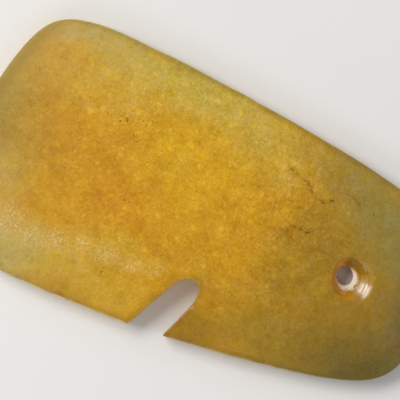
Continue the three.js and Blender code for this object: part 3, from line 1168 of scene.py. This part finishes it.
    def rim(name):
        start, full, atSlot, least = rims[name]
        besideSlot = ramp(tree, cutGap, *stone["slotBand"], atSlot)
        return times(ramp(tree, edgeGap, start, full), besideSlot), least

    # painted shade along the edge, where its face turns away from the light
    band, least = rim("dark")
    paint(times(strongest(paintedShadeRims, plan, 0.4, least), band, front), "moss")
    # a paler worn line on the arris, partly a painted edge highlight
    band, least = rim("wornAndLit")
    band = times(band, plus(strongest(wornAndLitRims, plan, 0.6), least))
    patchyRimLine = ramp(tree, patchy, 0.0, 1.0, *stone["patchyRimLine"], "LINEAR")
    wornAndLit = times(ramp(tree, attribute("rimWear"), 0.5, 1.0), band, patchyRimLine)
    paint(wornAndLit, "chalk")
    # painted shade round the wide end, darkening the edge that faces the low light
    grime = times(ramp(tree, edgeGap, *stone["wideEndShadeBand"]), stain(plan, *zones["grime"]), stone["grime"])
    paint(times(grime, front), "ochre")
    glow = times(ramp(tree, cutGap, *stone["glowBand"]), patchy, stone["glow"])
    paint(glow, "umber")
    paint(times(attribute("nicked"), stone["nick"]), "rust")

    roughness = ramp(tree, noise("roughness"), 0.25, 0.75, *gloss["face"], "LINEAR")
    for name, share in {"sawn": attribute("sawn"), "grime": grime, "hurt": hurt, "bore": bore}.items():
        roughness = calc(tree, "ADD", roughness, times(share, gloss[name]), clamp=True)
    height = calc(tree, "SUBTRACT", times(noise("bump"), gloss["bumpGrain"]), times(hurt, gloss["bumpHurt"]))
    bump = addNode(tree, "ShaderNodeBump", {
        "Height": height, "Strength": gloss["bumpStrength"], "Distance": gloss["bumpMm"] * mm,
    })
    weight = ramp(tree, bore, 0.0, 1.0, gloss["subsurface"], gloss["boreSubsurface"])
    reach = ramp(tree, bore, 0.0, 1.0, gloss["subsurfaceMm"] * mm, gloss["boreSubsurfaceMm"] * mm)
    shader = addNode(tree, "ShaderNodeBsdfPrincipled", {
        "Base Color": colour,
        "Roughness": roughness,
        "IOR": gloss["ior"],
        "Specular IOR Level": gloss["specular"],
        "Coat Weight": times(bore, stain(plan, *zones["cordPolish"])),
        "Coat Roughness": gloss["coatRoughness"],
        "Coat IOR": gloss["coatIor"],
        "Normal": bump.outputs[0],
        "Subsurface Weight": times(weight, subsurfaceKept),
        "Subsurface Radius": gloss["subsurfaceRadius"],
        "Subsurface Scale": reach,
    })
    addNode(tree, "ShaderNodeOutputMaterial", {"Surface": shader.outputs[0]})
    return made


stoneFinish = stoneMaterial()
layRelief(polishedPlate, stoneFinish)
print("relief laid over the plate:", len(polishedPlate.data.polygons), "faces")

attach(polishedPlate, "root")
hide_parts("stone_plate")


# Floor, light and camera

studio = {
    "floorColour": linear(240, 238, 234),
    "floorSize": 900,
    "floorRoughness": 0.85,
    "worldColour": (0.96, 0.97, 1, 1),
    "worldStrength": 0.26,
    "lensMm": 200,
    "sensorMm": 36,
    "fieldAcross": 66.67,  # what the picture takes in, at the height of the plate's edge
    "fieldHeight": 3.3,
    "lookAt": (-1.614, 2.010),
    "turn": math.radians(23.6),
    "clip": (0.01, 10),  # metres
}

lights = [
    # name, way round and height in degrees, distance, width, height, brightness
    ("keyLeft", 165, 50, 760, 540, 340, 6.1),
    ("softFront", -105, 38, 700, 460, 260, 1.6),
    ("softRight", -10, 46, 700, 500, 360, 0.8),
    ("lowLeft", 170, 20, 700, 570, 84, 9),
    ("lowFront", -102, 11, 500, 310, 84, 3),
]


def makeFloor():
    size = studio["floorSize"] / 2 * mm
    body = bpy.data.meshes.new("floor")
    corners = [(-size, -size, 0), (size, -size, 0), (size, size, 0), (-size, size, 0)]
    body.from_pydata(corners, [], [(0, 1, 2, 3)])
    paper = bpy.data.materials.new("floor_paper")
    paper.use_nodes = True
    shader = paper.node_tree.nodes["Principled BSDF"]
    shader.inputs["Base Color"].default_value = studio["floorColour"]
    shader.inputs["Roughness"].default_value = studio["floorRoughness"]
    body.materials.append(paper)
    addObject("floor", body)


def makeLights():
    world = bpy.data.worlds.new("studio")
    bpy.context.scene.world = world
    world.use_nodes = True
    background = world.node_tree.nodes["Background"]
    background.inputs["Color"].default_value = studio["worldColour"]
    background.inputs["Strength"].default_value = studio["worldStrength"]
    for name, way, height, distance, width, tall, brightness in lights:
        data = bpy.data.lights.new(name, "AREA")
        data.shape = "RECTANGLE"
        data.size, data.size_y = width * mm, tall * mm
        data.energy = brightness * math.pi * data.size * data.size_y
        lamp = addObject(name, data)
        way, height = math.radians(way), math.radians(height)
        level = math.cos(height)
        direction = Vector((math.cos(way) * level, math.sin(way) * level, math.sin(height)))
        lamp.location = direction * distance * mm
        lamp.rotation_euler = direction.to_track_quat("Z", "Y").to_euler()


def makeCamera():
    data = bpy.data.cameras.new("camera")
    data.lens, data.sensor_width = studio["lensMm"], studio["sensorMm"]
    data.clip_start, data.clip_end = studio["clip"]
    away = studio["fieldAcross"] * studio["lensMm"] / studio["sensorMm"] + studio["fieldHeight"]
    camera = addObject("camera", data)
    camera.location = Vector((*studio["lookAt"], away)) * mm
    camera.rotation_euler = (0, 0, studio["turn"])
    bpy.context.scene.camera = camera


makeFloor()
makeLights()
makeCamera()
bpy.context.scene.view_settings.view_transform = "Standard"
print("floor, light and camera placed")
